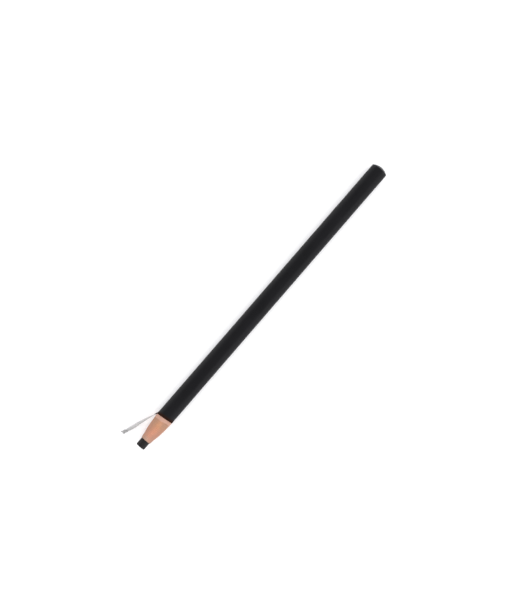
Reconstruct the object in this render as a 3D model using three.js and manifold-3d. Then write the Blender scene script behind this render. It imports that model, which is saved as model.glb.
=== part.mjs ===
// A paper-wrapped, peel-off marking pencil with a pull thread, in millimetres.
// It lies along X with its tip at -X and its tail at +X, on the plane z = 0, and the thread leaves it at +Y.
//
// A wax core runs the whole length. Round it sit short windings of paper strip, nested one in the next like
// paper cups: each shows as a cone once the one in front of it is gone. A black wrapper covers the windings,
// in bands that tear off with them. The pull thread lies under the wrapper, in a groove along the windings.

import * as THREE from "three";
import { mergeVertices } from "three/addons/utils/BufferGeometryUtils.js";
import Module from "manifold-3d";

const wasm = await Module();
wasm.setup();

// Driving dimensions. Radii are measured to the flats of the facets.
const LENGTH = 175;
const BARREL_R = 4.2;
const CORE_R = 2.3;
const CORE_BARE = 4.12; // wax that stands out of the paper
const CONE_LENGTH = 11.63;
const COLLAR_LENGTH = 1.62; // paper face between the cone and the black wrapper
const WRAPPER_THICKNESS = 0.12;
const SECTIONS = 17;
const PITCH = 8.4; // from one tear line to the next
const TAIL_DOME = 1.55;
const THREAD_DIAMETER = 0.55; // where it lies under the wrapper
const LOOSE_DIAMETER = 1.45; // where it hangs free, untwisted and fluffed up

// Smaller features
const SIDES = 24; // a multiple of four, so that flats face -Z and +Y
const FIT = 0.03; // radial play between a paper layer and what it is wound on
const SEAM = 0.05; // gap between one winding or band and the next
const CORE_END_ROUND = 0.4;
const LIP_R = CORE_R + 0.24; // the cone's blunt small end
const CONE_BASE_R = BARREL_R - 0.2;
const CONE_BULGE = [5.2, 3.45]; // the first cone is convex: its distance from the small end, and radius
const COLLAR_FLARE = 0.12; // the first collar's torn edge springs out this far
const TEAR_SKEW = 0.45; // torn edges are oblique: this far forward at the thread, and back opposite
const GROOVE_WIDTH = 0.72;
const GROOVE_DEPTH = 0.66;
const GROOVE_REACH = 0.75; // how far the groove runs out in front of the wrapper's edge
const SLIT_WIDTH = 0.9; // cut by the thread through the first band
const THREAD_SIDES = 8;
const THREAD_STEP = 1.3;
const LOOSENING = 10; // the length over which it fluffs up
const THREAD_ANCHOR = 6; // how far it runs on under the tail's wrapper, where glue holds its end
const KNOT_R = 0.85;
const KNOT_LENGTH = 2.8;
const KNOT_SIDES = 10;
const KNOT_RINGS = 8;
const DOME_RINGS = 5;
const PAST = 1; // how far a cutting box reaches past what it cuts
const MERGE = 1e-4; // corners closer than this are one corner

// Places along X
const TIP_X = -LENGTH / 2;
const TAIL_X = LENGTH / 2;
const CONE_X = TIP_X + CORE_BARE;
const COLLAR_X = CONE_X + CONE_LENGTH;
const RIM_X = COLLAR_X + COLLAR_LENGTH;
const BUTT_CONE_X = CONE_X + SECTIONS * PITCH;
const BUTT_RIM_X = RIM_X + SECTIONS * PITCH;
const DOME_X = TAIL_X - TAIL_DOME;

const WINDING_R = BARREL_R - WRAPPER_THICKNESS - FIT;
const WINDING_BORE = CORE_R + FIT + 0.02;
const GROOVE_FLOOR = WINDING_R - GROOVE_DEPTH;
const THREAD_R = THREAD_DIAMETER / 2;
const ANCHOR_X = BUTT_RIM_X + THREAD_ANCHOR;

// The thread's route, from under the second band to the knot, with z measured from the pencil's axis.
// It runs straight in its groove, climbs through the slit, leaves the wrapper's edge, and sinks to the table.
const THREAD_ROUTE = [
  [-56.5, 3.7, 0],
  [-59.4, 3.7, 0],
  [-61.4, 3.7, 0],
  [-63.4, 3.7, 0],
  [-65.4, 3.7, 0],
  [-67.4, 3.7, 0],
  [-68.6, 3.72, 0],
  [-69.5, 3.86, 0],
  [-70.15, 4.13, 0],
  [-70.7, 4.42, 0],
  [-71.3, 4.68, -0.01],
  [-72.5, 5.15, -0.08],
  [-74.2, 5.79, -0.26],
  [-76.1, 6.47, -0.58],
  [-78.1, 7.2, -1.05],
  [-80.2, 7.86, -1.66],
  [-82.2, 8.45, -2.3],
  [-84.1, 9.14, -2.8],
  [-85.5, 9.68, -3.05],
];
const BEND_POINT = 9; // the thread bends at this point of its route, and all of it beyond swings

const PAPER_FACE = { color: 0xdfab98, roughness: 0.85, metalness: 0 };
const WRAPPER_BLACK = { color: 0x232327, roughness: 0.42, metalness: 0 };
const WAX_BLACK = { color: 0x2b292a, roughness: 0.5, metalness: 0 };
const SEAL_BLACK = { color: 0x1c1c1f, roughness: 0.3, metalness: 0 };
const THREAD_GREY = { color: 0xc9c7c3, roughness: 0.9, metalness: 0 };

const pencil = new THREE.Group();
pencil.position.z = BARREL_R;

function add(name, geometry, look) {
  const mesh = new THREE.Mesh(geometry, new THREE.MeshStandardMaterial(look));
  mesh.name = name;
  pencil.add(mesh);
}

// A faceted turning about the pencil's axis. Points are [x, radius to the flats], anticlockwise about the solid.
function turned(points) {
  const toCorner = 1 / Math.cos(Math.PI / SIDES);
  const outline = points.map(([x, r]) => new THREE.Vector2(r * toCorner, x));
  const geometry = new THREE.LatheGeometry(outline, SIDES);
  geometry.rotateY(Math.PI / SIDES);
  geometry.rotateZ(-Math.PI / 2);
  return geometry;
}

function closed(points) {
  return [...points, points[0]];
}

function box(x0, x1, y0, y1, width) {
  const geometry = new THREE.BoxGeometry(x1 - x0, y1 - y0, width);
  geometry.translate((x0 + x1) / 2, (y0 + y1) / 2, 0);
  return geometry;
}

function toSolid(geometry) {
  const bare = geometry.clone();
  bare.deleteAttribute("normal");
  bare.deleteAttribute("uv");
  const merged = mergeVertices(bare, MERGE);
  return new wasm.Manifold(
    new wasm.Mesh({
      numProp: 3,
      vertProperties: new Float32Array(merged.attributes.position.array),
      triVerts: new Uint32Array(merged.index.array),
    }),
  );
}

function cut(geometry, tool) {
  const mesh = toSolid(geometry).subtract(toSolid(tool)).getMesh();
  const result = new THREE.BufferGeometry();
  result.setAttribute("position", new THREE.BufferAttribute(mesh.vertProperties, 3));
  result.setIndex(new THREE.BufferAttribute(mesh.triVerts, 1));
  result.computeVertexNormals();
  return result;
}

// A round tube along a route. Its radius grows from THREAD_R by up to swell, over LOOSENING.
function tube(route, swell = 0) {
  const points = route.map((p) => new THREE.Vector3(...p));
  const straight = points.length === 2;
  const curve = straight ? new THREE.LineCurve3(...points) : new THREE.CatmullRomCurve3(points);
  const length = curve.getLength();
  const steps = straight ? 1 : Math.round(length / THREAD_STEP);
  const geometry = new THREE.TubeGeometry(curve, steps, THREAD_R, THREAD_SIDES);
  const position = geometry.getAttribute("position");
  const rim = THREAD_SIDES + 1;
  for (let i = 0; i <= steps; i += 1) {
    const centre = curve.getPointAt(i / steps);
    const growth = 1 + (swell / THREAD_R) * Math.min(1, (length * i) / steps / LOOSENING);
    for (let j = i * rim; j < (i + 1) * rim; j += 1) {
      const point = new THREE.Vector3().fromBufferAttribute(position, j);
      point.sub(centre).multiplyScalar(growth).add(centre);
      position.setXYZ(j, point.x, point.y, point.z);
    }
  }
  return capped(geometry, steps, rim);
}

// Closes both ends of a tube whose rings have that many points, the last one repeating the first
function capped(geometry, steps, rim) {
  const faces = [...geometry.index.array];
  const last = steps * rim;
  for (let j = 1; j < rim - 2; j += 1) {
    faces.push(0, j, j + 1);
    faces.push(last, last + j + 1, last + j);
  }
  const bare = new THREE.BufferGeometry();
  bare.setAttribute("position", geometry.getAttribute("position"));
  bare.setIndex(faces);
  const merged = mergeVertices(bare, MERGE);
  merged.computeVertexNormals();
  return merged;
}

// The wax core, with its writing end's edge slightly rounded
function core() {
  const end = DOME_X - SEAM;
  return turned([
    [TIP_X, 0],
    [TIP_X, CORE_R - CORE_END_ROUND],
    [TIP_X + CORE_END_ROUND, CORE_R],
    [end, CORE_R],
    [end, 0],
  ]);
}

// The front of a winding: blunt lip, cone, and the small step up to the uncut face
function windingFront(x) {
  return [
    [x, WINDING_BORE],
    [x, LIP_R],
    [x + CONE_LENGTH, CONE_BASE_R],
    [x + CONE_LENGTH, WINDING_R],
  ];
}

// The back of a winding, which follows the next winding's cone
function windingBack(x) {
  return [
    [x + CONE_LENGTH, WINDING_R],
    [x, LIP_R],
    [x, WINDING_BORE],
  ];
}

function winding(x) {
  return turned(closed([...windingFront(x), ...windingBack(x + PITCH - SEAM)]));
}

// The first winding shows. Its collar is free of the wrapper, so its torn edge flares, and is as oblique as
// the wrapper's.
function tornWinding(x) {
  const [bore, lip, coneFoot] = windingFront(x);
  const bulge = [x + CONE_BULGE[0], CONE_BULGE[1]];
  const collarEdge = [x + CONE_LENGTH, WINDING_R + COLLAR_FLARE];
  const collarFoot = [x + CONE_LENGTH + COLLAR_LENGTH - TEAR_SKEW - SEAM, WINDING_R];
  const outline = [bore, lip, bulge, coneFoot, collarEdge, collarFoot, ...windingBack(x + PITCH - SEAM)];
  const geometry = turned(closed(outline));
  skew(geometry, x + CONE_LENGTH);
  return geometry;
}

// The glued winding at the tail, which is not peeled
function tailWinding() {
  const end = DOME_X - SEAM;
  return turned(closed([...windingFront(BUTT_CONE_X), [end, WINDING_R], [end, WINDING_BORE]]));
}

function groove(x0) {
  return box(x0, ANCHOR_X + PAST, GROOVE_FLOOR, BARREL_R + PAST, GROOVE_WIDTH);
}

function band(x0, x1) {
  const bore = BARREL_R - WRAPPER_THICKNESS;
  return turned(
    closed([
      [x0, bore],
      [x0, BARREL_R],
      [x1, BARREL_R],
      [x1, bore],
    ]),
  );
}

// Makes the edge at x oblique
function skew(geometry, x) {
  const position = geometry.getAttribute("position");
  for (let i = 0; i < position.count; i += 1) {
    const isOnEdge = Math.abs(position.getX(i) - x) < SEAM;
    if (isOnEdge) position.setX(i, x - (TEAR_SKEW * position.getY(i)) / BARREL_R);
  }
}

// The first band: its front edge is torn obliquely, and the thread has slit it along its length
function tornBand(x0, x1) {
  const geometry = band(x0, x1);
  skew(geometry, x0);
  return cut(geometry, box(x0 - PAST, x1 + PAST, BARREL_R / 2, BARREL_R + PAST, SLIT_WIDTH));
}

// The dipped seal over the tail: a shallow dome
function tailSeal() {
  const domeR = (BARREL_R ** 2 + TAIL_DOME ** 2) / (2 * TAIL_DOME);
  const arc = [];
  for (let i = 0; i < DOME_RINGS; i += 1) {
    const r = BARREL_R * (1 - i / DOME_RINGS);
    arc.push([TAIL_X - domeR + Math.sqrt(domeR ** 2 - r ** 2), r]);
  }
  return turned([[DOME_X, 0], ...arc, [TAIL_X, 0]]);
}

// The knot: a small ball drawn out along the thread's last stretch
function knot() {
  const [before, end] = THREAD_ROUTE.slice(-2).map((p) => new THREE.Vector3(...p));
  const along = end.clone().sub(before).normalize();
  const geometry = new THREE.SphereGeometry(KNOT_R, KNOT_SIDES, KNOT_RINGS);
  geometry.scale(1, KNOT_LENGTH / 2 / KNOT_R, 1);
  geometry.applyQuaternion(new THREE.Quaternion().setFromUnitVectors(new THREE.Vector3(0, 1, 0), along));
  const centre = end.clone().addScaledVector(along, KNOT_LENGTH / 2);
  geometry.translate(centre.x, centre.y, centre.z);
  return geometry;
}

add("wax_core", core(), WAX_BLACK);

for (let k = 0; k < SECTIONS; k += 1) {
  const label = String(k + 1).padStart(2, "0");
  const x = CONE_X + k * PITCH;
  const body = k === 0 ? cut(tornWinding(x), groove(RIM_X - GROOVE_REACH)) : cut(winding(x), groove(x));
  add(`paper_winding_${label}`, body, PAPER_FACE);
}
add("tail_winding", cut(tailWinding(), groove(BUTT_CONE_X)), PAPER_FACE);

for (let k = 0; k < SECTIONS; k += 1) {
  const label = String(k + 1).padStart(2, "0");
  const x0 = RIM_X + k * PITCH;
  const x1 = x0 + PITCH - SEAM;
  add(`wrapper_band_${label}`, k === 0 ? tornBand(x0, x1) : band(x0, x1), WRAPPER_BLACK);
}
add("tail_wrapper", band(BUTT_RIM_X, DOME_X - SEAM), WRAPPER_BLACK);
add("tail_seal", tailSeal(), SEAL_BLACK);

const [leadX, leadY] = THREAD_ROUTE[0];
add("thread_run", tube([[ANCHOR_X, leadY, 0], [leadX + SEAM, leadY, 0]]), THREAD_GREY);
add("thread_lead", tube(THREAD_ROUTE.slice(0, BEND_POINT + 1)), THREAD_GREY);
const swell = (LOOSE_DIAMETER - THREAD_DIAMETER) / 2;
add("pull_thread", tube(THREAD_ROUTE.slice(BEND_POINT + 1), swell), THREAD_GREY);
add("thread_knot", knot(), THREAD_GREY);

export default pencil;
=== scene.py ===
"""A paper-wrapped, peel-off marking pencil with a pull thread.

Pieces are made in millimetres, with y and z measured from the pencil's axis, and new_piece() puts them into
the model's frame, which is in metres with z = 0 on the table. The pencil lies along X with its tip at -X.
Angles round it start at +Y, where the thread lies, and rise towards +Z.
"""

import random
from math import asin, atan2, cos, pi, radians, sin, sqrt, tanh

import bpy
import numpy as np
from mathutils import Matrix, Vector, noise


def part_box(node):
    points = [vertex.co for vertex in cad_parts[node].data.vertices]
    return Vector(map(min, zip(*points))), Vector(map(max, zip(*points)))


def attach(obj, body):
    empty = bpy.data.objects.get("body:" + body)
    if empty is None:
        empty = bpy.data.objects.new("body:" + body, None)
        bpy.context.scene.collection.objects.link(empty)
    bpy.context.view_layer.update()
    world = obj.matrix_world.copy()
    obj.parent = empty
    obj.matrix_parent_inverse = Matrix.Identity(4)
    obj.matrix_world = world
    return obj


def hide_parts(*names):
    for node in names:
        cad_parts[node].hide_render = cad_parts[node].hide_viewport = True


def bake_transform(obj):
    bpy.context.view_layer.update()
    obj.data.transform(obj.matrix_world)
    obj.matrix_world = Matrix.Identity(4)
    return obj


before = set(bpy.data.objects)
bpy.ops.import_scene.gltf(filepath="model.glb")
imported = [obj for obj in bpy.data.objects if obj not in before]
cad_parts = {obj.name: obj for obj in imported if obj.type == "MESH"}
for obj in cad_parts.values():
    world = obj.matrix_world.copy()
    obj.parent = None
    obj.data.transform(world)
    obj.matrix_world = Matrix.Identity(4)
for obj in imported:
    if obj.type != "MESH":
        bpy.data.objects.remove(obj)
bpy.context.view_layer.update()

MM = 0.001

# The pencil, as in the CAD model
BARREL_R = 4.2
CORE_R = 2.3
SECTIONS = 17
CONE_LENGTH = 11.63
COLLAR_FLARE = 0.12  # the first collar's torn edge springs out this far
TEAR_SKEW = 0.45  # torn edges are oblique: this far forward at the thread, and back opposite
WRAPPER_THICKNESS = 0.12
FIT = 0.03  # radial play between a paper layer and what it is wound on
SEAM = 0.05  # gap between one winding and the next
GROOVE_WIDTH = 0.72
GROOVE_DEPTH = 0.66
GROOVE_REACH = 0.75  # in front of the wrapper's edge
THREAD_DIAMETER = 0.55  # under the wrapper
WINDING_R = BARREL_R - WRAPPER_THICKNESS - FIT
WINDING_BORE = CORE_R + FIT + 0.02
GROOVE_FLOOR = WINDING_R - GROOVE_DEPTH


def span(node):
    """Where a CAD node starts and ends along X, in millimetres."""
    low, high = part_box(node)
    return low[0] / MM, high[0] / MM


TIP_X, CORE_END_X = span("wax_core")
CONE_X = span("paper_winding_01")[0]
PITCH = span("wrapper_band_03")[0] - span("wrapper_band_02")[0]
RIM_X = span("wrapper_band_02")[0] - PITCH
DOME_X, TAIL_X = span("tail_seal")

# The wrapper's rim and the collar are torn back this far behind the CAD model's
RIM_BACK = 0.2
COLLAR_BACK = 0.14

# The thread's route, z measured from the axis
THREAD_ROUTE = [
    (-56.5, 3.7, 0),
    (-59.4, 3.7, 0),
    (-61.4, 3.7, 0),
    (-63.4, 3.7, 0),
    (-65.4, 3.7, 0),
    (-67.4, 3.7, 0),
    (-68.6, 3.72, 0),
    (-69.5, 3.86, 0),
    (-70.15, 4.13, 0),
    (-70.7, 4.42, 0),
    (-71.3, 4.68, -0.01),
    (-72.5, 5.15, -0.08),
    (-74.2, 5.79, -0.26),
    (-76.1, 6.47, -0.58),
    (-78.1, 7.2, -1.05),
    (-80.2, 7.86, -1.66),
    (-82.2, 8.45, -2.3),
    (-84.1, 9.14, -2.8),
    (-85.5, 9.68, -3.05),
]
BEND_POINT = 9  # where it leaves the wrapper, and where its joint lies


# ---------------------------------------------------------------- camera, light and floor

LENS = 85
SENSOR = 36
CAMERA_DISTANCE = 0.6697  # in metres, to the picture's middle
CAMERA_LEAN = radians(4.3)  # towards the tip
CAMERA_ROLL = radians(49.2)  # of the pencil in the picture, above the horizontal
PICTURE_SHIFT = (-0.00323, 0.00284)  # from the pencil's middle to the picture's, right and up, in metres


def add_camera():
    """Looks down on the pencil from above, leaning towards its tip."""
    data = bpy.data.cameras.new("camera")
    data.lens = LENS
    data.sensor_width = SENSOR
    data.clip_start = 0.01
    back = Vector((-sin(CAMERA_LEAN), 0, cos(CAMERA_LEAN)))
    up = Vector((sin(CAMERA_ROLL), cos(CAMERA_ROLL), 0))
    right = up.cross(back).normalized()
    up = back.cross(right)
    middle = Vector((0, 0, BARREL_R * MM)) + PICTURE_SHIFT[0] * right + PICTURE_SHIFT[1] * up
    turn = Matrix((right, up, back)).transposed().to_4x4()
    camera = bpy.data.objects.new("camera", data)
    camera.matrix_world = Matrix.Translation(middle + CAMERA_DISTANCE * back) @ turn
    bpy.context.scene.collection.objects.link(camera)
    bpy.context.scene.camera = camera


def add_softbox(name, place, width, height, watts):
    """An area light that faces the pencil's middle. Its sizes are in metres."""
    data = bpy.data.lights.new(name, "AREA")
    data.shape = "RECTANGLE"
    data.size = width
    data.size_y = height
    data.energy = watts
    light = bpy.data.objects.new(name, data)
    turn = Vector(place).to_track_quat("Z", "Y")
    light.matrix_world = Matrix.Translation(place) @ turn.to_matrix().to_4x4()
    bpy.context.scene.collection.objects.link(light)


def add_studio():
    """A bright white room with four weak softboxes."""
    world = bpy.data.worlds.new("studio")
    world.use_nodes = True
    background = world.node_tree.nodes["Background"]
    background.inputs["Color"].default_value = (0.98, 0.98, 1, 1)
    background.inputs["Strength"].default_value = 1
    bpy.context.scene.world = world
    bpy.context.scene.view_settings.view_transform = "Standard"
    add_softbox("side_softbox", (0.05, -0.8, 0.32), 1.2, 0.3, 3.3)
    add_softbox("thread_side_softbox", (0, 0.9, 0.14), 1.2, 0.25, 1.9)
    add_softbox("tip_end_softbox", (-0.95, 0, 0.75), 0.8, 1, 3.5)
    add_softbox("tail_end_softbox", (0.95, 0, 0.75), 0.8, 1, 3.5)


def add_floor():
    """A white table top that glows a little, as an overexposed one looks."""
    reach = 2.5  # from the pencil to each side, in metres
    corners = [(-reach, -reach, 0), (reach, -reach, 0), (reach, reach, 0), (-reach, reach, 0)]
    mesh = bpy.data.meshes.new("floor")
    mesh.from_pydata(corners, [], [(0, 1, 2, 3)])
    floor = bpy.data.objects.new("floor", mesh)
    material, shader = new_material("floor_paint", (0.94, 0.94, 0.94), 0.8)
    shader.inputs["Specular IOR Level"].default_value = 0.1
    shader.inputs["Emission Color"].default_value = (1, 1, 1, 1)
    shader.inputs["Emission Strength"].default_value = 0.1
    mesh.materials.append(material)
    bpy.context.scene.collection.objects.link(floor)


# ---------------------------------------------------------------- material helpers


def new_material(name, colour, roughness):
    """A material and its shader node."""
    material = bpy.data.materials.new(name)
    material.use_nodes = True
    shader = material.node_tree.nodes["Principled BSDF"]
    shader.inputs["Base Color"].default_value = (*colour, 1)
    shader.inputs["Roughness"].default_value = roughness
    return material, shader


def new_node(material, kind, inputs=None, **settings):
    """A node with its settings, and with its inputs linked to sockets or set to values."""
    node = material.node_tree.nodes.new(kind)
    for name, value in settings.items():
        setattr(node, name, value)
    for name, value in (inputs or {}).items():
        connect(material, value, node.inputs[name])
    return node


def connect(material, value, socket):
    """Links the value to the socket if it is one itself, and stores it there if not."""
    if isinstance(value, bpy.types.NodeSocket):
        material.node_tree.links.new(value, socket)
    else:
        socket.default_value = value


def calculate(material, operation, first, second=0.0, third=0.0):
    """A sum with sockets or numbers. MULTIPLY_ADD gives first * second + third."""
    node = new_node(material, "ShaderNodeMath", operation=operation)
    for socket, value in zip(node.inputs, (first, second, third), strict=False):
        connect(material, value, socket)
    return node.outputs[0]


def position(material):
    """Where a point of the surface lies on its piece, in metres."""
    return new_node(material, "ShaderNodeTexCoord").outputs["Object"]


def axes_of(material, place):
    """The x, y and z of a place, as three sockets."""
    return new_node(material, "ShaderNodeSeparateXYZ", {"Vector": place}).outputs


def mesh_value(material, name, kind="Fac"):
    """What a mesh attribute says at each point."""
    return new_node(material, "ShaderNodeAttribute", attribute_name=name).outputs[kind]


def spots(material, size, stretch=(1, 1, 1), detail=3.0, distortion=0.0, place=None):
    """Noise from 0 to 1 whose spots are about size millimetres across, drawn out by stretch."""
    scale = [1 / (size * MM * s) for s in stretch]
    place = position(material) if place is None else place
    place = new_node(material, "ShaderNodeMapping", {"Vector": place, "Scale": scale}).outputs[0]
    inputs = {"Vector": place, "Scale": 1.0, "Detail": detail, "Distortion": distortion}
    return new_node(material, "ShaderNodeTexNoise", inputs).outputs["Fac"]


def ramp(material, value, *stops):
    """A colour or grey that changes with value. Each stop is (value, colour)."""
    node = new_node(material, "ShaderNodeValToRGB", {"Fac": value})
    elements = node.color_ramp.elements
    while len(elements) < len(stops):
        elements.new(0.5)
    for element, (place, colour) in zip(elements, stops, strict=True):
        element.position = place
        element.color = (*colour, 1) if isinstance(colour, tuple) else (colour, colour, colour, 1)
    return node.outputs["Color"]


def mix(material, share, first, second, kind="MIX"):
    """A blend of two colours."""
    node = new_node(material, "ShaderNodeMix", data_type="RGBA", blend_type=kind)
    for number, value in ((0, share), (6, first), (7, second)):
        value = (*value, 1) if isinstance(value, tuple) else value
        connect(material, value, node.inputs[number])
    return node.outputs[2]


def raise_surface(material, shader, height, depth, under=None):
    """Bump of that depth in millimetres where height runs from 0 to 1, on top of the bump under it."""
    node = new_node(material, "ShaderNodeBump", {"Height": height, "Distance": depth * MM})
    if under is not None:
        connect(material, under, node.inputs["Normal"])
    connect(material, node.outputs[0], shader.inputs["Normal"])
    return node.outputs[0]


# ---------------------------------------------------------------- materials


def wrapper_coat():
    """Black coated paper: satin, faintly fibrous, rubbed brown at its rim, with dashed tear lines."""
    material, shader = new_material("wrapper_coat", (0.004, 0.004, 0.005), 0.42)
    shader.inputs["Specular IOR Level"].default_value = 0.124
    fibres = spots(material, 0.16, stretch=(5, 1, 1))
    cloud = spots(material, 6, stretch=(2, 1, 1))
    colour = ramp(material, cloud, (0.3, (0.003, 0.003, 0.0036)), (0.7, (0.0049, 0.0049, 0.0058)))
    scuffed = rim_scuff(material)
    brown = ramp(material, fibres, (0.3, (0.014, 0.0045, 0.0022)), (0.7, (0.027, 0.0098, 0.0048)))
    colour = mix(material, scuffed, colour, brown)
    connect(material, colour, shader.inputs["Base Color"])
    tint = mix(material, scuffed, (0.97, 0.96, 1), (0.36, 0.33, 0.32))
    connect(material, tint, shader.inputs["Specular Tint"])
    rough = calculate(material, "MULTIPLY_ADD", cloud, 0.16, 0.34)
    rough = calculate(material, "MULTIPLY_ADD", fibres, 0.08, rough)
    rough = calculate(material, "MULTIPLY_ADD", scuffed, 0.4, rough)
    connect(material, rough, shader.inputs["Roughness"])
    under = raise_surface(material, shader, fibres, 0.006)
    raise_surface(material, shader, tear_lines(material), 0.03, under)
    return material


def rim_scuff(material):
    """1 where the coat has rubbed off the brown paper just behind the torn rim, and 0 beyond."""
    reach = 4 * MM
    patchiness = 0.85
    x, y, _ = axes_of(material, position(material))
    behind_rim = calculate(material, "SUBTRACT", x, (RIM_X + RIM_BACK) * MM)
    behind_rim = calculate(material, "MULTIPLY_ADD", y, TEAR_SKEW / BARREL_R, behind_rim)
    patches = spots(material, 0.3, detail=4)
    patchy = calculate(material, "MULTIPLY_ADD", patches, patchiness * reach, behind_rim)
    return ramp(material, calculate(material, "DIVIDE", patchy, reach), (0.58, 1), (0.85, 0))


def tear_lines(material):
    """0 in the dashes of the tear lines round the wrapper, and 1 elsewhere."""
    line_width = 0.1
    dashes = 22
    dash_share = 0.65
    x, y, z = axes_of(material, position(material))
    sections = calculate(material, "SUBTRACT", x, RIM_X * MM)
    sections = calculate(material, "DIVIDE", sections, PITCH * MM)
    away = calculate(material, "PINGPONG", sections, 0.5)
    beside = calculate(material, "GREATER_THAN", away, line_width / 2 / PITCH)
    height = calculate(material, "SUBTRACT", z, BARREL_R * MM)
    angle = calculate(material, "ARCTAN2", height, y)
    dash = calculate(material, "FRACT", calculate(material, "MULTIPLY", angle, dashes / (2 * pi)))
    between = calculate(material, "GREATER_THAN", dash, dash_share)
    return calculate(material, "MAXIMUM", beside, between)


def wrapper_edge():
    """The wrapper's torn edge and inside, where dark brown paper shows."""
    material, shader = new_material("wrapper_edge", (0.02, 0.012, 0.009), 0.85)
    shader.inputs["Specular IOR Level"].default_value = 0.1
    fibres = spots(material, 0.12, stretch=(1, 2, 2))
    colour = ramp(material, fibres, (0.35, (0.008, 0.005, 0.004)), (0.75, (0.05, 0.03, 0.022)))
    connect(material, colour, shader.inputs["Base Color"])
    raise_surface(material, shader, fibres, 0.03)
    return material


# Grey-brown of handling dirt, also used as painted shade towards the pencil's sides
SOIL_AND_SHADE = (0.25, 0.168, 0.13)


def soiled_and_side_shaded(material, colour, amount):
    """The colour, greyed patchily by handling, and darkened towards both sides of the pencil by painted
    shade.
    """
    across = axes_of(material, position(material))[1]
    side = calculate(material, "DIVIDE", calculate(material, "ABSOLUTE", across), BARREL_R * MM)
    patches = spots(material, 2.4, stretch=(1.6, 1, 1), detail=4)
    # Patchy dirt, plus painted shade that rises towards both sides of the pencil
    darkening = calculate(material, "MULTIPLY_ADD", patches, 0.7, calculate(material, "SUBTRACT", side, 0.35))
    share = ramp(material, darkening, (0.1, 0), (0.55, amount))
    return mix(material, share, colour, SOIL_AND_SHADE)


def cut_paper():
    """The cone: torn edges of wound paper, salmon with ochre near its foot, darker under each edge."""
    material, shader = new_material("cut_paper", (0.55, 0.27, 0.16), 0.9)
    shader.inputs["Specular IOR Level"].default_value = 0.12
    layer = mesh_value(material, "layer")
    along = mesh_value(material, "along")
    blotches = spots(material, 3.2, detail=2)
    fibres = spots(material, 0.14, stretch=(1, 5, 5), detail=4)
    place = calculate(material, "MULTIPLY_ADD", blotches, 0.5, calculate(material, "SUBTRACT", along, 0.25))
    colour = ramp(
        material,
        place,
        (0.0, (0.49, 0.305, 0.23)),
        (0.16, (0.56, 0.275, 0.187)),
        (0.5, (0.58, 0.268, 0.174)),
        (0.8, (0.535, 0.272, 0.157)),
        (1.0, (0.53, 0.28, 0.174)),
    )
    streak = ramp(material, fibres, (0.3, (0.82, 0.8, 0.78)), (0.7, (1, 1, 1)))
    colour = mix(material, 1.0, colour, streak, "MULTIPLY")
    shade = ramp(material, layer, (0.0, (0.66, 0.6, 0.56)), (0.22, (1, 1, 1)), (1.0, (1, 1, 1)))
    colour = mix(material, 1.0, colour, shade, "MULTIPLY")
    # Patchy dirt and painted shade towards the sides
    connect(material, soiled_and_side_shaded(material, colour, 0.5), shader.inputs["Base Color"])
    raise_surface(material, shader, fibres, 0.05)
    return material


def face_paper():
    """The uncut face of the paper: paler, pinkish and smoother."""
    material, shader = new_material("face_paper", (0.6, 0.34, 0.25), 0.85)
    shader.inputs["Specular IOR Level"].default_value = 0.15
    fibres = spots(material, 0.2, stretch=(1, 3, 3), detail=4)
    colour = ramp(material, fibres, (0.3, (0.462, 0.26, 0.194)), (0.7, (0.546, 0.324, 0.248)))
    # Patchy dirt and painted shade towards the sides
    connect(material, soiled_and_side_shaded(material, colour, 0.22), shader.inputs["Base Color"])
    raise_surface(material, shader, fibres, 0.03)
    return material


def wax():
    """Black marking wax: soft sheen, rubbed dull in rings and pitted."""
    material, shader = new_material("wax", (0.016, 0.0145, 0.0145), 0.5)
    shader.inputs["Specular IOR Level"].default_value = 0.19
    rings = spots(material, 0.18, stretch=(1, 6, 6))
    smears = spots(material, 1.1, distortion=1)
    pits = spots(material, 0.1, detail=2)
    colour = ramp(material, smears, (0.35, (0.005, 0.0046, 0.0046)), (0.7, (0.0125, 0.011, 0.011)))
    connect(material, colour, shader.inputs["Base Color"])
    rough = calculate(material, "MULTIPLY_ADD", smears, 0.3, 0.35)
    connect(material, rough, shader.inputs["Roughness"])
    under = raise_surface(material, shader, rings, 0.03)
    raise_surface(material, shader, ramp(material, pits, (0.3, 0), (0.4, 1)), 0.02, under)
    return material


def seal_lacquer():
    """Black dipped lacquer on the tail: glossier than the wrapper, with a slight orange peel."""
    material, shader = new_material("seal_lacquer", (0.0034, 0.0034, 0.0042), 0.28)
    shader.inputs["Specular IOR Level"].default_value = 0.17
    shader.inputs["Specular Tint"].default_value = (0.97, 0.96, 1, 1)
    peel = spots(material, 0.7, detail=1)
    dust = spots(material, 0.12, detail=2)
    rough = calculate(material, "MULTIPLY_ADD", dust, 0.2, 0.2)
    connect(material, rough, shader.inputs["Roughness"])
    raise_surface(material, shader, peel, 0.02)
    return material


def cotton():
    """Greyish cotton thread, dirtied by handling towards its knot."""
    material, shader = new_material("cotton", (0.4, 0.4, 0.39), 0.95)
    shader.inputs["Specular IOR Level"].default_value = 0.1
    shader.inputs["Sheen Weight"].default_value = 0.25
    place = mesh_value(material, "rest_place", "Vector")
    fibres = spots(material, 0.05, place=place)
    along = axes_of(material, place)[0]
    free_stretch = {"Value": along, "From Min": -73 * MM, "From Max": -88 * MM}
    share = new_node(material, "ShaderNodeMapRange", free_stretch).outputs[0]
    handled = ramp(material, share, (0, 0.17), (0.72, 0.3), (0.95, 0.57))
    darkening = calculate(material, "MULTIPLY_ADD", spots(material, 1.6, place=place), 0.5, handled)
    colour = ramp(
        material,
        darkening,
        (0.2, (0.77, 0.765, 0.755)),
        (0.5, (0.61, 0.605, 0.6)),
        (0.85, (0.43, 0.426, 0.422)),
    )
    streak = ramp(material, fibres, (0.3, 0.72), (0.7, 1))
    colour = mix(material, 1.0, colour, streak, "MULTIPLY")
    connect(material, colour, shader.inputs["Base Color"])
    raise_surface(material, shader, fibres, 0.03)
    return material


# ---------------------------------------------------------------- mesh helpers


SHARP_ANGLE = radians(50)  # edges bent more than this stay sharp


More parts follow.
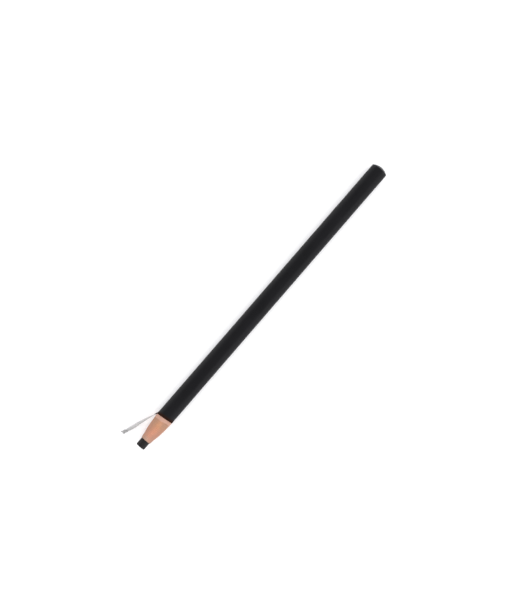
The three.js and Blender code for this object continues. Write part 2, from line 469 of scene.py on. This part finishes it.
def new_piece(name, points, faces, materials, body, replaced=()):
    """A mesh from points in millimetres about the axis, riding on a body unless that is None."""
    mesh = bpy.data.meshes.new(name)
    placed = (np.asarray(points, float) + (0, 0, BARREL_R)) * MM
    mesh.from_pydata(placed.tolist(), [], faces)
    mesh.validate()
    for material in materials:
        mesh.materials.append(material)
    mesh.shade_smooth()
    mesh.set_sharp_from_angle(angle=SHARP_ANGLE)
    piece = bpy.data.objects.new(name, mesh)
    bpy.context.scene.collection.objects.link(piece)
    if body is not None:
        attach(piece, body)
    if replaced:
        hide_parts(*replaced)
    return piece


def skin(rings, first=0, loops=False):
    """Faces over rings of equally many points, numbered from first.

    The last ring is joined to the first if loops is set, and otherwise both are capped.
    """
    rows, columns = len(rings), len(rings[0])
    faces = []
    for i in range(rows if loops else rows - 1):
        a, b = first + i * columns, first + (i + 1) % rows * columns
        for j in range(columns):
            k = (j + 1) % columns
            faces.append((a + j, a + k, b + k, b + j))
    if not loops:
        faces.append(tuple(first + j for j in reversed(range(columns))))
        faces.append(tuple(first + (rows - 1) * columns + j for j in range(columns)))
    return faces


def flatten(rings):
    return [point for line in rings for point in line]


def enclose(outer, inner, flip=False):
    """The solid between two grids of points: its points, its faces, and 0 for outer faces and 1 for others.

    With rows that follow each other along the pencil and columns round it the faces look out, and flip turns
    them over.
    """
    rows, columns = len(outer) - 1, len(outer[0]) - 1
    width = columns + 1
    under = width * (rows + 1)
    faces, kinds = [], []
    for i in range(rows):
        for j in range(columns):
            a, b = i * width + j, (i + 1) * width + j
            faces.append((a, a + 1, b + 1, b))
            faces.append((under + a, under + b, under + b + 1, under + a + 1))
            kinds += [0, 1]
    for i in range(rows):
        for j in (0, columns):
            a, b = i * width + j, (i + 1) * width + j
            face = (a, b, under + b, under + a)
            faces.append(face if j == 0 else face[::-1])
            kinds.append(1)
    for j in range(columns):
        for i in (0, rows):
            a = i * width + j
            face = (a, under + a, under + a + 1, a + 1)
            faces.append(face if i == 0 else face[::-1])
            kinds.append(1)
    if flip:
        faces = [(face[0], *face[:0:-1]) for face in faces]
    return flatten(outer) + flatten(inner), faces, kinds


def at(value, a):
    """The value at angle a, where it may be a function of the angle."""
    return value(a) if callable(value) else value


def ring(x, radius, columns=96):
    """Points round the axis at x. x and radius may depend on the angle."""
    points = []
    for j in range(columns):
        a = 2 * pi * j / columns
        r = at(radius, a)
        points.append((at(x, a), r * cos(a), r * sin(a)))
    return points


def smooth_noise(size, seed, x, y, z):
    """Smooth noise from about -1 to 1, with bumps about size across. Each seed gives a different one."""
    return noise.noise(Vector((x / size, y / size, z / size)) + Vector((seed, 0, 0)))


def rim_noise(size, seed, a):
    """Smooth noise round the pencil, at angle a."""
    return smooth_noise(size, seed, 4 * cos(a), 4 * sin(a), 0)


def smooth_path(points, step):
    """Points every step millimetres or so on a smooth curve through the given ones."""
    points = [Vector(p) for p in points]
    path = []
    for i in range(len(points) - 1):
        before = points[max(i - 1, 0)]
        start, end = points[i], points[i + 1]
        after = points[min(i + 2, len(points) - 1)]
        square = 2 * before - 5 * start + 4 * end - after
        cube = 3 * start - before - 3 * end + after
        count = max(1, round((end - start).length / step))
        for n in range(count):
            t = n / count
            path.append((2 * start + (end - before) * t + square * t**2 + cube * t**3) / 2)
    path.append(points[-1])
    return path


def side_vectors(path):
    """For each point of a path, two directions across it that turn with it as little as they can."""
    last = len(path) - 1
    tangents = [(path[min(i + 1, last)] - path[max(i - 1, 0)]).normalized() for i in range(len(path))]
    across = tangents[0].orthogonal().normalized()
    sides = []
    for tangent in tangents:
        across = (across - across.dot(tangent) * tangent).normalized()
        sides.append((across, tangent.cross(across)))
    return sides


def tube(path, radii, columns):
    """A ring round each point of a path, with that point's radius."""
    turns = [2 * pi * j / columns for j in range(columns)]
    rings = []
    for centre, radius, (u, v) in zip(path, radii, side_vectors(path), strict=True):
        rings.append([tuple(centre + radius * (cos(t) * u + sin(t) * v)) for t in turns])
    return rings


# ---------------------------------------------------------------- wax core


def add_core(material):
    """The wax core: its writing end worn flat, with a soft, slightly chipped edge."""
    end_round = 0.6
    end_rings, edge_rings, side_rings = 8, 8, 24
    bare = CONE_X - TIP_X + 1  # the stretch with a worn surface, which reaches a little way into the paper
    rings = []
    for k in range(1, end_rings + 1):
        r = (CORE_R - end_round) * k / end_rings
        rings.append(ring(lambda a, r=r: TIP_X + worn_end(r, a), r))
    for k in range(1, edge_rings + 1):
        bend = pi / 2 * k / edge_rings
        r = CORE_R - end_round + end_round * sin(bend)
        x = TIP_X + end_round * (1 - cos(bend))
        rings.append(ring(lambda a, x=x, r=r: x + worn_end(r, a), lambda a, x=x, r=r: r - chip(x, a)))
    for k in range(1, side_rings + 1):
        x = TIP_X + end_round + (bare - end_round) * k / side_rings
        rings.append(ring(x, lambda a, x=x: CORE_R - chip(x, a)))
    rings.append(ring(CORE_END_X, CORE_R))
    return new_piece("wax_stick", flatten(rings), skin(rings), [material], "barrel", ["wax_core"])


def worn_end(r, a):
    """How far the writing end is worn back, at radius r and angle a."""
    return 0.02 + 0.04 * (1 + smooth_noise(1.4, 3, r * cos(a), r * sin(a), 0)) / 2


def chip(x, a):
    """How far the wax is worn in: a little all along, and more in places near the writing end."""
    near_end = max(0.0, 1 - (x - TIP_X) / 1.2)
    y, z = CORE_R * cos(a), CORE_R * sin(a)
    worn = 0.012 * (1 + smooth_noise(0.5, 5, x, y, z))
    return worn + 0.05 * near_end * max(0.0, smooth_noise(0.7, 9, x, y, z))


# ---------------------------------------------------------------- paper windings

# Radius of the cone at some distances from its small end
CONE_PROFILE = [(0, 2.51), (0.5, 2.62), (2.25, 2.81), (4.6, 3.3), (6, 3.53), (8.9, 3.81), (11.63, 4.0)]
LAYER_PITCH = 0.72  # along the cone, from one torn paper edge to the next
LAYER_STEP = 0.035  # how far each of those edges stands up
COLUMNS = 132  # points round a winding
FACE, TORN = 0, 1  # a winding's two papers


def cone_radius(distance):
    """The plain cone's radius at a distance from its small end."""
    places, radii = zip(*CONE_PROFILE, strict=True)
    return float(np.interp(distance, places, radii))


def cone_noise(size, seed, distance, a):
    """Noise over a cone, by distance from its small end and angle."""
    return smooth_noise(size, seed, distance, 3 * cos(a), 3 * sin(a))


def layer_phase(distance, a):
    """From 0 just behind one torn paper edge to 1 at the next. The edges form one spiral down the cone."""
    wander = 0.32 * cone_noise(2.2, 21, distance, a) + 0.12 * cone_noise(0.5, 22, distance, a)
    return (distance / LAYER_PITCH - a / (2 * pi) + wander) % 1


def layered_radius(distance, a):
    """The cone's radius with its torn edges, which fade out at both of its ends, and their fuzz."""
    fade = min(1.0, distance / 0.5) * min(1.0, (CONE_LENGTH - distance) / 0.4)
    step = LAYER_STEP * (layer_phase(distance, a) - 0.5) * fade
    return cone_radius(distance) + step + 0.012 * cone_noise(0.16, 31, distance, a)


def jag(a, skew, share):
    """How far the collar's torn edge stands back: it is oblique, with most of the change at one jag.

    The cone's rows follow it more and more over its rear half. share is how far along the cone they are.
    """
    return (COLLAR_BACK - skew * tanh(3 * (cos(a) + 0.22))) * max(0.0, 2 * share - 1)


def column_places():
    """Where a winding's points lie round it: ("floor", z) in the thread's groove, or ("arc", angle)."""
    half = GROOVE_WIDTH / 2
    groove = [("floor", share * half) for share in (-0.92, -0.5, 0.0, 0.5, 0.92)]
    edge = atan2(half, sqrt(WINDING_R**2 - half**2))
    count = COLUMNS - len(groove)
    arc = [("arc", edge + (2 * pi - 2 * edge) * j / (count - 1)) for j in range(count)]
    return groove + arc


COLUMN_PLACES = column_places()


def outline(x, radius, grooved):
    """One ring of a winding. x and radius may depend on the angle; grooved cuts it down for the thread."""
    points = []
    for kind, place in COLUMN_PLACES:
        a = place if kind == "arc" else atan2(place, WINDING_R)
        r = at(radius, a)
        if kind == "arc":
            y, z = r * cos(a), r * sin(a)
        else:
            y, z = sqrt(r * r - place * place), place
            y = min(y, GROOVE_FLOOR) if grooved else y
        points.append((at(x, a), y, z))
    return points


# A winding's surface is a list of rows. Each is a ring, the paper of the faces that follow it, and its
# distance along the cone, or None off the cone.


def lip_rows(x0):
    """From the bore round the cone's blunt small end."""
    return [
        (outline(x0 + 0.05, WINDING_BORE, False), TORN, 0),
        (outline(x0, CORE_R + 0.1, False), TORN, 0),
        (outline(x0 - 0.02, CORE_R + 0.2, False), TORN, 0),
    ]


def cone_rows(x0, groove_x, skew):
    """Down the cone, from its small end at x0."""
    count = 210
    rows = []
    for n in range(count + 1):
        distance = CONE_LENGTH * n / count
        points = outline(
            lambda a, d=distance: x0 + d + jag(a, skew, d / CONE_LENGTH),
            lambda a, d=distance: layered_radius(d, a),
            x0 + distance >= groove_x,
        )
        rows.append((points, TORN, distance))
    return rows


def face_rows(number, x0, groove_x, flare, skew):
    """Over the step behind the cone, whose torn edge flares out, and along the paper's uncut face."""
    cone_end = x0 + CONE_LENGTH
    flare_end = max(groove_x, cone_end + 1)
    face_end = x0 + PITCH - SEAM + CONE_LENGTH
    grooved = cone_end >= groove_x

    def torn_x(a):
        return cone_end + jag(a, skew, 1) + 0.08 * rim_noise(0.5, 41 + number, a)

    rings = [
        outline(lambda a: torn_x(a) - 0.03, WINDING_R + flare * 0.6, grooved),
        outline(lambda a: torn_x(a) + 0.03, WINDING_R + flare, grooved),
    ]
    for share in (0.2, 0.45, 0.7, 0.9):
        height = WINDING_R + flare * (1 - share) ** 1.5
        rings.append(outline(lambda a, s=share: torn_x(a) * (1 - s) + flare_end * s, height, grooved))
    rings.append(outline(flare_end, WINDING_R, grooved))
    for n in range(9):
        rings.append(outline(flare_end + (face_end - flare_end) * n / 8, WINDING_R, True))
    return [(points, FACE, None) for points in rings]


def hollow_rows(back):
    """Up the hollow that holds the next winding's cone, from its rear to its small end, and to the bore."""
    count = 24
    rows = []
    for n in range(count, -1, -1):
        distance = CONE_LENGTH * n / count
        rows.append((outline(back + distance - 0.02, cone_radius(distance), True), TORN, None))
    rows.append((outline(back, WINDING_BORE, False), TORN, None))
    return rows


def store_layers(piece, rows):
    """Stores at each point its layer phase and its share of the cone's length, for the paper's colours."""
    layer, along = [], []
    for points, _, distance in rows:
        for _, y, z in points:
            layer.append(1.0 if distance is None else layer_phase(distance, atan2(z, y)))
            along.append(1.0 if distance is None else distance / CONE_LENGTH)
    for name, values in (("layer", layer), ("along", along)):
        piece.data.attributes.new(name, "FLOAT", "POINT").data.foreach_set("value", values)


def add_winding(number, x0, groove_x, flare, skew, papers):
    """A paper winding, with its small end at x0 and the thread's groove from groove_x on."""
    rows = lip_rows(x0) + cone_rows(x0, groove_x, skew)
    rows += face_rows(number, x0, groove_x, flare, skew) + hollow_rows(x0 + PITCH - SEAM)
    rings = [points for points, _, _ in rows]
    faces = skin(rings, loops=True)
    body = "peel_section" if number == 1 else "barrel"
    node = f"paper_winding_{number:02d}"
    piece = new_piece(f"winding_{number:02d}", flatten(rings), faces, papers, body, [node])
    kinds = np.repeat([kind for _, kind, _ in rows], COLUMNS).astype(np.int32)
    piece.data.polygons.foreach_set("material_index", kinds)
    store_layers(piece, rows)
    return piece


# ---------------------------------------------------------------- wrapper and seal

OVERLAP_ANGLE = radians(252)  # of the wrapper's glued overlap, on the underside
OVERLAP_SPAN = radians(40)
OVERLAP_STEP = 0.03
CREASE_DEPTH = 0.025  # of the wrapper at a tear line
CREASE_REACH = 0.25
SLIT_HALF = 0.37  # half the width of the slit in the first band
LIP_SHARE = 0.07  # of each half of that band, which curls out beside the slit
LIP_CURL = 0.3  # how far it curls at the front
LIP_LENGTH = 2.2  # how far back it curls


def wrapper_radius(a):
    """The wrapper's outer radius: it stands up slightly over the thread and at its glued overlap."""
    over_thread = 0.05 * max(0.0, cos(a)) ** 220
    past_edge = (a - OVERLAP_ANGLE) % (2 * pi)
    overlap = OVERLAP_STEP * max(0.0, 1 - past_edge / OVERLAP_SPAN)
    return BARREL_R - OVERLAP_STEP + over_thread + overlap


def crease(distance):
    """How far the wrapper is pressed in at that distance from a tear line."""
    return CREASE_DEPTH * max(0.0, 1 - distance / CREASE_REACH)


def add_band(number, coat):
    """A whole band of wrapper, creased at both of its tear lines. The last one covers the tail."""
    is_tail = number > SECTIONS
    name = "tail_band" if is_tail else f"band_{number:02d}"
    node = "tail_wrapper" if is_tail else f"wrapper_band_{number:02d}"
    x0, x1 = span(node)
    if not is_tail:
        x1 = x0 + PITCH
    columns = 144
    inner = BARREL_R - WRAPPER_THICKNESS
    crease_places = (0, 0.05, 0.12, CREASE_REACH)
    rows = [(x0 + distance, crease(distance)) for distance in crease_places]
    rows += [(x0 + (x1 - x0) * share, 0) for share in (0.25, 0.5, 0.75)]
    rows += [(x1 - distance, crease(distance)) for distance in reversed(crease_places)]
    rings = [ring(x0, inner, columns)]
    rings += [ring(x, lambda a, d=drop: wrapper_radius(a) - d, columns) for x, drop in rows]
    rings.append(ring(x1, inner, columns))
    return new_piece(name, flatten(rings), skin(rings, loops=True), [coat], "barrel", [node])


def torn_front(a):
    """Where the first band's torn front edge is at angle a: oblique and ragged."""
    oblique = RIM_X + RIM_BACK - TEAR_SKEW * cos(a)
    return oblique + 0.06 * rim_noise(0.45, 51, a) + 0.03 * rim_noise(0.15, 52, a)


def torn_band_rings(share):
    """The first band's outer and inner ring at that share of its length. They start and end at its slit."""
    columns = 150
    end_x = RIM_X + PITCH
    start = atan2(SLIT_HALF, BARREL_R)
    at_front = share == 0
    outer, inner = [], []
    for j in range(columns + 1):
        a = start + (2 * pi - 2 * start) * j / columns
        lower = j > columns / 2
        near_slit = max(0.0, 1 - 2 * min(j, columns - j) / columns / LIP_SHARE)
        front = torn_front(a) - (0.35 if lower else 0.15) * near_slit**2
        x = front + (end_x - front) * share
        curl = near_slit**1.5 * (LIP_CURL * max(0.0, 1 - (x - front) / LIP_LENGTH) ** 2 + 0.05)
        flare = 0.025 * (1 + sin(a)) * max(0.0, 1 - (x - front) / 0.5)
        ragged = 0.05 * smooth_noise(0.6, 54 if lower else 53, x, 0, 0) * near_slit / BARREL_R
        turned = a - ragged if lower else a + ragged
        top = wrapper_radius(a) + curl + flare - crease(end_x - x)
        low = top - WRAPPER_THICKNESS * (0.6 if at_front else 0.95)  # the torn edge is frayed thin
        outer.append((x, top * cos(turned), top * sin(turned)))
        inner.append((x + (0.04 if at_front else 0), low * cos(turned), low * sin(turned)))
    return outer, inner


def add_torn_band(coat, edge):
    """The first band: torn obliquely at its front, and slit by the thread, so that its lips curl out."""
    count = 60
    rings = [torn_band_rings((i / count) ** 1.6) for i in range(count + 1)]
    points, faces, kinds = enclose([outer for outer, _ in rings], [inner for _, inner in rings])
    papers = [coat, edge]
    piece = new_piece("torn_band", points, faces, papers, "peel_section", ["wrapper_band_01"])
    piece.data.polygons.foreach_set("material_index", kinds)
    return piece


def add_flap(coat):
    """A pointed scrap of wrapper, torn forwards over the thread where it comes out."""
    rows, columns = 12, 8
    thickness = 0.09
    arch = 0.1
    half_width = 0.36
    rim = RIM_X + RIM_BACK
    base, tip = Vector((rim + 0.05, 4.06, 0.5)), Vector((rim - 1.6, 4.9, 0.42))
    along = (tip - base).normalized()
    across = along.cross(Vector((0, 0, 1))).normalized()
    up = across.cross(along)
    outer = []
    for i in range(rows + 1):
        share = i / rows
        centre = base.lerp(tip, share) + up * arch * sin(pi * share)
        half = half_width * (1 - share) ** 0.75 * min(1, 0.4 + 2.4 * share) + 0.02
        line = []
        for j in range(columns + 1):
            side = 2 * j / columns - 1
            ragged = 0.07 * smooth_noise(0.35, 61, share * 3, side, 0) * share
            rise = -arch * side * side + 0.02 * smooth_noise(0.3, 62, share * 3, side, 0)
            line.append(tuple(centre + across * (half * side + ragged) + up * rise))
        outer.append(line)
    inner = [[tuple(Vector(point) - up * thickness) for point in line] for line in outer]
    points, faces, _ = enclose(outer, inner, flip=True)
    return new_piece("torn_flap", points, faces, [coat], "peel_section")


def add_seal(material):
    """The dipped end: a shallow dome with a soft rim and a slightly wavy dip line."""
    columns, corner_rows, dome_rows = 120, 6, 20
    lap = 0.9  # of the lacquer over the wrapper
    corner = 0.18  # the radius of the rim
    rise = TAIL_X - DOME_X
    dome_r = (BARREL_R**2 + rise**2) / (2 * rise)

    def dip_line(a):
        return DOME_X - lap + 0.12 * rim_noise(1.5, 71, a)

    rings = [
        ring(lambda a: dip_line(a) + 0.1, BARREL_R - 0.08, columns),
        ring(dip_line, BARREL_R - 0.035, columns),
        ring(lambda a: dip_line(a) + 0.15, BARREL_R - 0.005, columns),
        ring(DOME_X - 0.2, BARREL_R, columns),
    ]
    slope = asin((BARREL_R - corner) / dome_r)
    for k in range(corner_rows + 1):
        bend = (pi / 2 - slope) * k / corner_rows
        x = DOME_X - 0.05 + corner * sin(bend)
        rings.append(ring(x, BARREL_R - corner * (1 - cos(bend)), columns))
    for k in range(2, dome_rows):
        r = BARREL_R * (1 - k / dome_rows)
        rings.append(ring(TAIL_X - dome_r + sqrt(dome_r**2 - r**2), r, columns))
    return new_piece("dipped_end", flatten(rings), skin(rings), [material], "barrel", ["tail_seal"])


# ---------------------------------------------------------------- pull thread

ROUTE_STEP = 0.11
LOOSE_DIAMETER = 1.65  # of the thread where it hangs free, with all its fluff
FIRM_LENGTH = 1.6  # beyond its bend it stays thin this far
LOOSENING = 9  # the length over which it then fluffs up
GATHER_LENGTH = 0.9  # over which it is drawn thin again, into its knot
GATHERED = 0.68  # its share of the full diameter at the knot
KNOTTED_DIAMETER = 0.72
PLIES = 3
PLY_SHARE = 0.27  # a ply's radius over the thread's diameter
LAY_SHARE = 2.7  # the length of one full twist over the thread's diameter
PLY_SIDES = 9
FUZZ_X = -73.6  # stray fibres begin here, clear of the collar
FIBRE_R = 0.014


def strands(path, diameters):
    """Tubes for the thread's plies, twisted round path. diameters are the thread's at each point of it."""
    turn = 0.0
    plies = [[] for _ in range(PLIES)]
    for i, (centre, (u, v)) in enumerate(zip(path, side_vectors(path), strict=True)):
        if i > 0:
            turn += 2 * pi * (centre - path[i - 1]).length / (LAY_SHARE * diameters[i])
        for k, ply in enumerate(plies):
            a = turn + 2 * pi * k / PLIES
            ply.append(centre + (0.5 - PLY_SHARE) * diameters[i] * (cos(a) * u + sin(a) * v))
    radii = [PLY_SHARE * diameter for diameter in diameters]
    return [tube(ply, radii, PLY_SIDES) for ply in plies]


def fibre(start, direction, length, bend):
    """A fine stray fibre that thins towards its end."""
    direction = direction.normalized()
    path = [start + direction * length * t + bend * length * t * t for t in (0, 0.35, 0.7, 1)]
    return tube(path, [FIBRE_R * (1 - 0.28 * i) for i in range(4)], 4)


def gather(parts):
    """Points and faces of several skinned tubes."""
    points, faces = [], []
    for rings in parts:
        faces += skin(rings, len(points))
        points += flatten(rings)
    return points, faces


def above_table(points):
    """The points, with those that would sink into the table laid on it."""
    return [(x, y, max(z, -BARREL_R)) for x, y, z in points]


def keep_rest_place(piece):
    """Stores where each point lies at rest, so that the thread's colours stay on it as it moves."""
    places = [value for vertex in piece.data.vertices for value in vertex.co]
    piece.data.attributes.new("rest_place", "FLOAT_VECTOR", "POINT").data.foreach_set("vector", places)


def thread_diameters(path):
    """The thread's diameter at each point of its path."""
    firm_end = THREAD_ROUTE[BEND_POINT][0] - FIRM_LENGTH
    growth = (LOOSE_DIAMETER - THREAD_DIAMETER) / LOOSENING
    diameters = []
    for p in path:
        loose = min(LOOSE_DIAMETER, THREAD_DIAMETER + growth * max(0.0, firm_end - p.x))
        share = min(1.0, GATHERED + (1 - GATHERED) * (p.x - path[-1].x) / GATHER_LENGTH)
        diameters.append(loose * share)
    return diameters


def add_fuzz(parts, path, diameters, first, count, pick):
    """Adds stray fibres along a thread, from that point of its path on."""
    sides = side_vectors(path)
    for _ in range(count):
        i = pick.randrange(first, len(path) - 3)
        u, v = sides[i]
        a = pick.uniform(0, 2 * pi)
        out = cos(a) * u + sin(a) * v
        forward = (path[i + 1] - path[i]).normalized() * pick.choice((-1, 1))
        start = path[i] + out * diameters[i] * 0.42
        length = diameters[i] * pick.uniform(0.4, 1.2)
        direction = out * pick.uniform(0.2, 0.6) + forward
        parts.append(fibre(start, direction, length, out * pick.uniform(-0.3, 0.2)))


def add_thread(material, path):
    """The pull thread: twisted plies with stray fibres, from inside the pencil to its knot."""
    pick = random.Random(7)
    diameters = thread_diameters(path)
    parts = strands(path, diameters)
    clear = next(i for i, p in enumerate(path) if p.x < FUZZ_X)
    add_fuzz(parts, path, diameters, clear, 420, pick)
    points, faces = gather(parts)
    nodes = ["thread_lead", "pull_thread"]
    thread = new_piece("thread", above_table(points), faces, [material], None, nodes)
    keep_rest_place(thread)
    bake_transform(thread)
    return thread


def knot_path(start, along):
    """An overhand knot, drawn tight and long, that starts where the thread's route ends.

    Its curve is (t^3 - 3t, t^4 - 4t^2, t^5 - 10t), scaled, and turned so that both of its ends lie along it.
    """
    length, width, height = 0.42, 0.27, 0.85  # how far it is drawn out each way
    middle = 1.32  # of the knot, beyond its start
    side = along.cross(Vector((0, 0, 1))).normalized()
    up = side.cross(along)
    path = []
    for n in range(-40, 41):
        t = 2.03 * n / 40
        x = t**3 - 3 * t
        y = t**4 - 4 * t**2
        z = 0.15 * (t**5 - 10 * t)
        forward = length * (x + z) / sqrt(2) + middle
        path.append(start + along * forward + side * width * (y + 1.9) + up * height * (x - z) / sqrt(2))
    return path


def add_fray(parts, end, sides, leave, pick):
    """Adds the loose fibres of the thread's cut end."""
    u, v = sides
    for _ in range(40):
        a = pick.uniform(0, 2 * pi)
        out = cos(a) * u + sin(a) * v
        start = end + out * pick.uniform(0.02, 0.25)
        length = pick.uniform(0.2, 0.45)
        parts.append(fibre(start, leave + out * 0.5, length, out * pick.uniform(-0.2, 0.3)))


def add_knot(material, path):
    """The knot, which rests on the table, and the thread's frayed end."""
    pick = random.Random(11)
    step = 0.06
    along = (path[-1] - path[-6]).normalized()
    inside = path[-1] - along * 0.2  # where the knot's line starts, within the thread's end
    line = smooth_path([inside] + knot_path(path[-1], along)[2:], step)
    leave = (line[-1] - line[-3]).normalized().lerp(along, 0.85)
    line += [line[-1] + leave * 2 * step * n for n in (1, 2)]
    lowest = KNOTTED_DIAMETER / 2 - BARREL_R
    line = [Vector((p.x, p.y, max(p.z, lowest))) for p in line]
    diameters = [KNOTTED_DIAMETER] * len(line)
    parts = strands(line, diameters)
    add_fuzz(parts, line, diameters, 0, 90, pick)
    add_fray(parts, line[-1], side_vectors(line)[-1], leave, pick)
    points, faces = gather(parts)
    nodes = ["thread_knot"]
    knot = new_piece("knot", above_table(points), faces, [material], "free_thread", nodes)
    keep_rest_place(knot)
    return knot


# ---------------------------------------------------------------- the scene


def dress_hidden_nodes(paper, thread_fibre):
    """Gives the CAD nodes that stay inside the same finishes."""
    finishes = {f"paper_winding_{number:02d}": paper for number in range(3, SECTIONS + 1)}
    finishes["tail_winding"] = paper
    finishes["thread_run"] = thread_fibre
    for name, finish in finishes.items():
        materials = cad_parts[name].data.materials
        materials.clear()
        materials.append(finish)


add_camera()
add_studio()
add_floor()

papers = [face_paper(), cut_paper()]
coat = wrapper_coat()
edge = wrapper_edge()
thread_fibre = cotton()

route = smooth_path(THREAD_ROUTE, ROUTE_STEP)
thread = add_thread(thread_fibre, route)
knot = add_knot(thread_fibre, route)

add_core(wax())
add_winding(1, CONE_X, RIM_X - GROOVE_REACH, COLLAR_FLARE, TEAR_SKEW, papers)
add_winding(2, CONE_X + PITCH, CONE_X + PITCH, 0, 0, papers)
add_torn_band(coat, edge)
add_flap(coat)
for number in range(2, SECTIONS + 2):
    add_band(number, coat)
add_seal(seal_lacquer())
dress_hidden_nodes(papers[FACE], thread_fibre)

bpy.context.view_layer.update()
